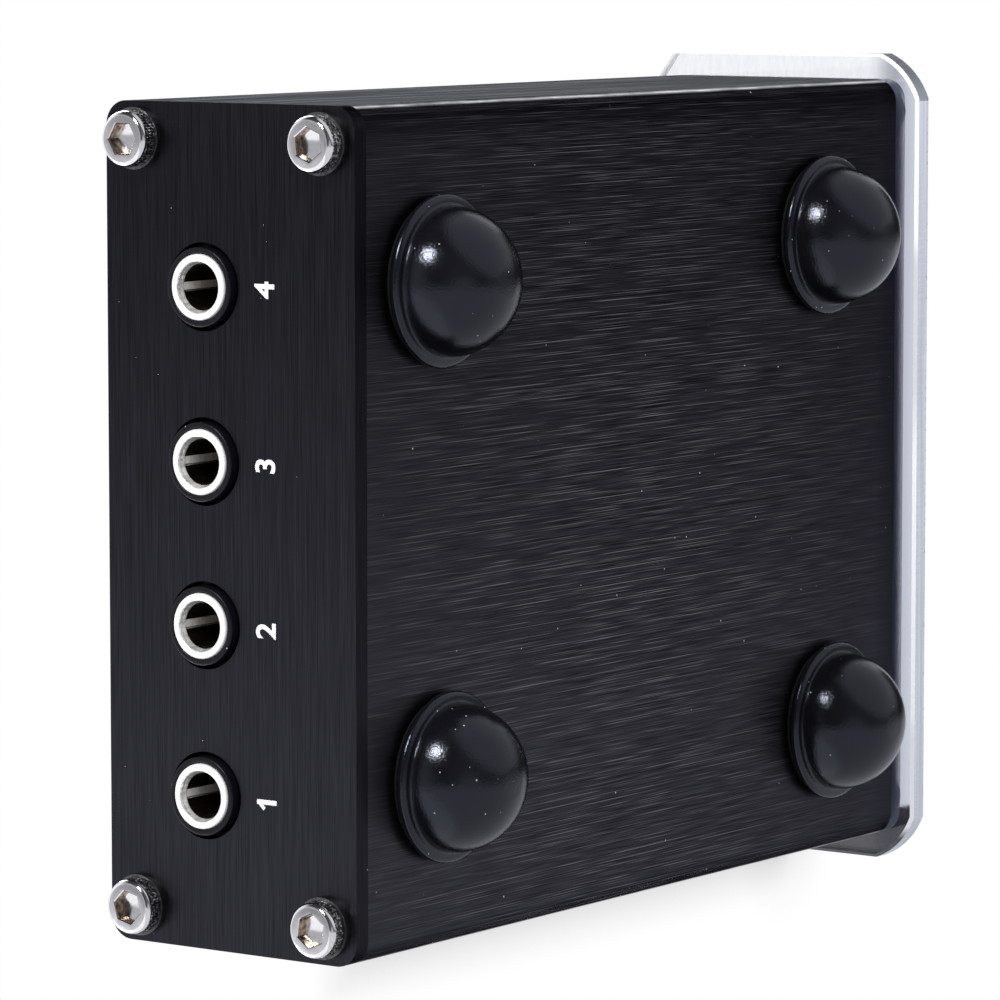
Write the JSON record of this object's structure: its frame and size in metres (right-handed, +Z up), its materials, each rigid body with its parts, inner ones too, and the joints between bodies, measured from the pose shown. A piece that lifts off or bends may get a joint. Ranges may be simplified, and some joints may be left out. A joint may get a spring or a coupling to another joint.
{
  "type": "audio source selector",
  "caption": "Flat black audio source selector with rear input jacks, a clear front plate, a rotary selector knob, a front output jack and domed rubber feet.",
  "frame": {"origin": "on the ground under the middle of the whole object", "axes": "+X to the right as seen from the front, +Y to the rear panel with the input jacks, +Z up"},
  "size_m": [0.0724, 0.0938, 0.0342],
  "materials": {
    "black_anodised": "satin",
    "clear_acrylic": "gloss",
    "black_film": "matte",
    "stainless_steel": "gloss",
    "black_steel": "gloss",
    "black_rubber": "satin",
    "adhesive": "matte",
    "jack_plastic": "gloss",
    "plated_contact": "gloss",
    "plated_tube": "gloss",
    "circuit_board": "gloss",
    "header_plastic": "matte",
    "switch_metal": "satin",
    "switch_plastic": "satin",
    "black_knob": "satin",
    "white_inlay": "gloss"
  },
  "bodies": {
    "selector_box": {"case_shell": "black_anodised", "rear_panel": "black_anodised", "front_plate": "clear_acrylic", "front_mask": "black_film", "rear_screws": "stainless_steel", "rear_washers": "stainless_steel", "front_screws": "stainless_steel", "front_washers": "stainless_steel", "foot_rear_left": "black_rubber", "foot_rear_right": "black_rubber", "foot_front_left": "black_rubber", "foot_front_right": "black_rubber", "foot_adhesive_discs": "adhesive", "input_jack_1_housing": "jack_plastic", "input_jack_1_tube": "plated_tube", "input_jack_1_contacts": "plated_contact", "input_jack_2_housing": "jack_plastic", "input_jack_2_tube": "plated_tube", "input_jack_2_contacts": "plated_contact", "input_jack_3_housing": "jack_plastic", "input_jack_3_tube": "plated_tube", "input_jack_3_contacts": "plated_contact", "input_jack_4_housing": "jack_plastic", "input_jack_4_tube": "plated_tube", "input_jack_4_contacts": "plated_contact", "output_jack_housing": "jack_plastic", "output_jack_tube": "plated_tube", "output_jack_contacts": "plated_contact", "main_board": "circuit_board", "switch_board": "circuit_board", "header_strip": "header_plastic", "header_pins": "plated_contact", "switch_frame": "switch_metal", "contact_housing": "switch_plastic", "terminal_plate": "switch_plastic", "switch_terminals": "plated_contact", "switch_tie_screws": "switch_metal", "lock_washer": "switch_metal", "bushing_nut": "switch_metal"},
    "selector": {"selector_knob": "black_knob", "knob_pointer": "white_inlay", "knob_grub_screw": "black_steel", "selector_shaft": "switch_metal", "shaft_clip": "switch_metal", "detent_carrier": "switch_plastic", "detent_spring": "switch_metal", "detent_ball": "switch_metal", "switch_rotor": "switch_plastic", "rotor_wiper": "plated_contact"}
  },
  "joints": [
    {"name": "selector_turn", "type": "hinge", "parent": "selector_box", "child": "selector", "pos_m": [0.014, -0.03528, 0.0195], "axis": [0, 1, 0], "range_deg": [0, 90]}
  ]
}
